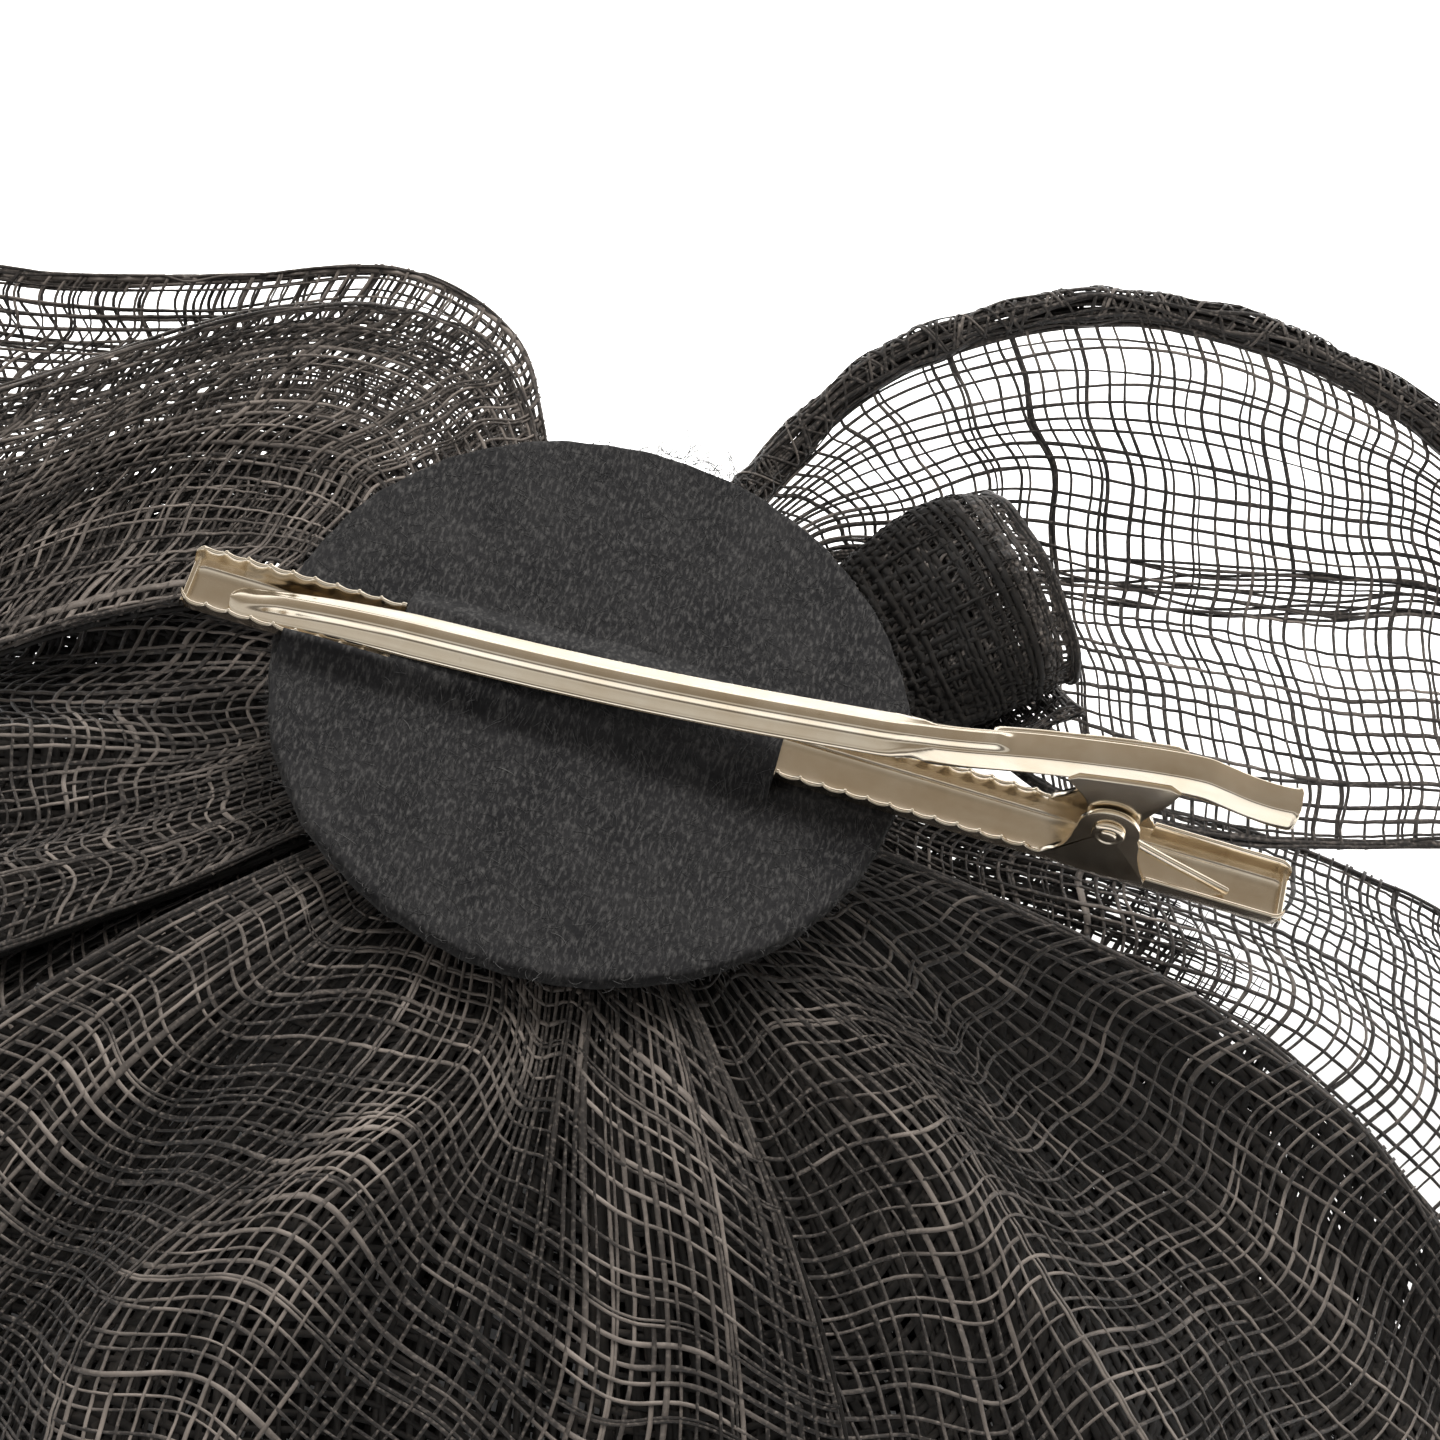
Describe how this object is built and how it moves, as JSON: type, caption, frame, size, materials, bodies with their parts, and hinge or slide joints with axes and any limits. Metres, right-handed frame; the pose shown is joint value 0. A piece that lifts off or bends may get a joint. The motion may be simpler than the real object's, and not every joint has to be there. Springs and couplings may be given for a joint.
{
  "type": "fascinator headpiece",
  "caption": "Gathered open-weave fabric fascinator on a felt-covered disc, held in the hair by a toothed alligator clip with a sprung lever.",
  "frame": {"origin": "Centre of the felt disc on its hair-side face, which is the middle of where the headpiece rests on the head.", "axes": "+X runs along the clip from its tip to its thumb end. +Z leaves the felt's hair side, towards the wearer's head, and points up when the headpiece lies on its decorated side with the clip on top. +Y follows from the other two and points to the side with the two tall loops."},
  "size_m": [0.1788, 0.1363, 0.0448],
  "materials": {
    "clip_metal": "pale champagne-gold plate, polished",
    "felt": "charcoal needle felt with fine fibres",
    "base_card": "black stiffened cloth",
    "binding": "black thread",
    "sinamay": "black-brown open-weave plant fibre mesh"
  },
  "bodies": {
    "headpiece": {"clip_lower_jaw": "clip_metal", "clip_pivot_pin": "clip_metal", "clip_spring": "clip_metal", "felt_cover_disc": "felt", "base_disc": "base_card", "gathered_core": "sinamay", "binding_thread": "binding", "petal_left": "sinamay", "petal_lower_left": "sinamay", "petal_bottom": "sinamay", "petal_lower_right": "sinamay", "petal_right": "sinamay", "underpetal_left": "sinamay", "underpetal_lower_left": "sinamay", "underpetal_lower_right": "sinamay", "underpetal_right": "sinamay", "loop_left_back": "sinamay", "loop_left_front": "sinamay", "loop_right": "sinamay", "curled_cone": "sinamay", "loop_right_hem": "sinamay", "rosette": "sinamay"},
    "lever": {"clip_upper_lever": "clip_metal"}
  },
  "joints": [
    {"name": "lever_hinge", "type": "hinge", "parent": "headpiece", "child": "lever", "pos_m": [0.0363, -0.00042, 0.0061], "axis": [0, 1, 0], "range_deg": [0, 25], "stiffness_Nm_per_rad": 0.015, "springref_deg": -20.05, "deforming": ["clip_spring"]}
  ]
}
